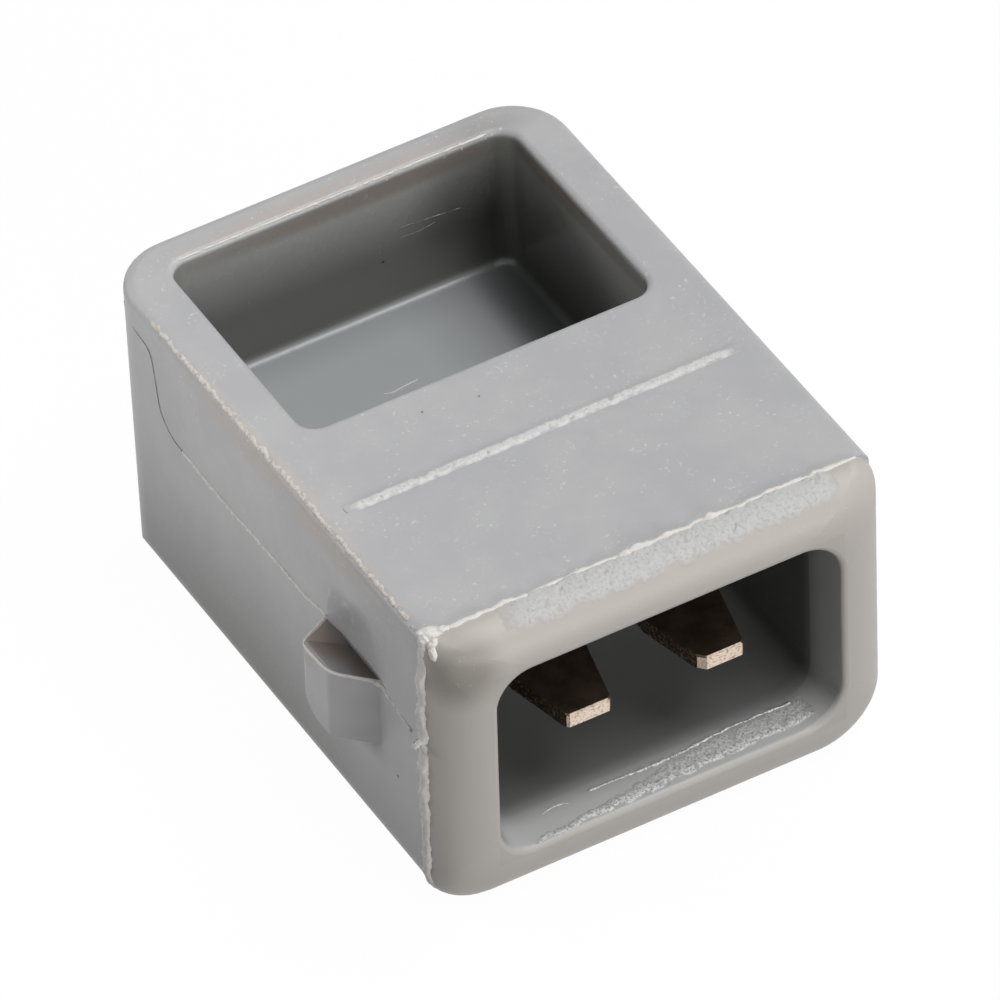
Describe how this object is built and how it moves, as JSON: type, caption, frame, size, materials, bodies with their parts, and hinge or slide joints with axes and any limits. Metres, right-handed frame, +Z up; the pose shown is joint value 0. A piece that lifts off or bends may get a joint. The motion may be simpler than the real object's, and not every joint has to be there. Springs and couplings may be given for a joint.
{
  "type": "automotive connector",
  "caption": "Two-way plug housing in pale grey plastic: a rounded mouth with two flat tab contacts, a blind pocket in the top and a latch lug on each side.",
  "frame": {"origin": "on the underside, below the middle of the overall length and width", "axes": "+Z up through the pocket's opening, -Y out of the mouth, +X to the right seen from the mouth"},
  "size_m": [0.0192, 0.0226, 0.0117],
  "materials": {
    "grey_plastic": "satin",
    "blade_metal": "tarnished"
  },
  "bodies": {
    "root": {"housing": "grey_plastic", "blade_left": "blade_metal", "blade_right": "blade_metal"}
  },
  "joints": []
}
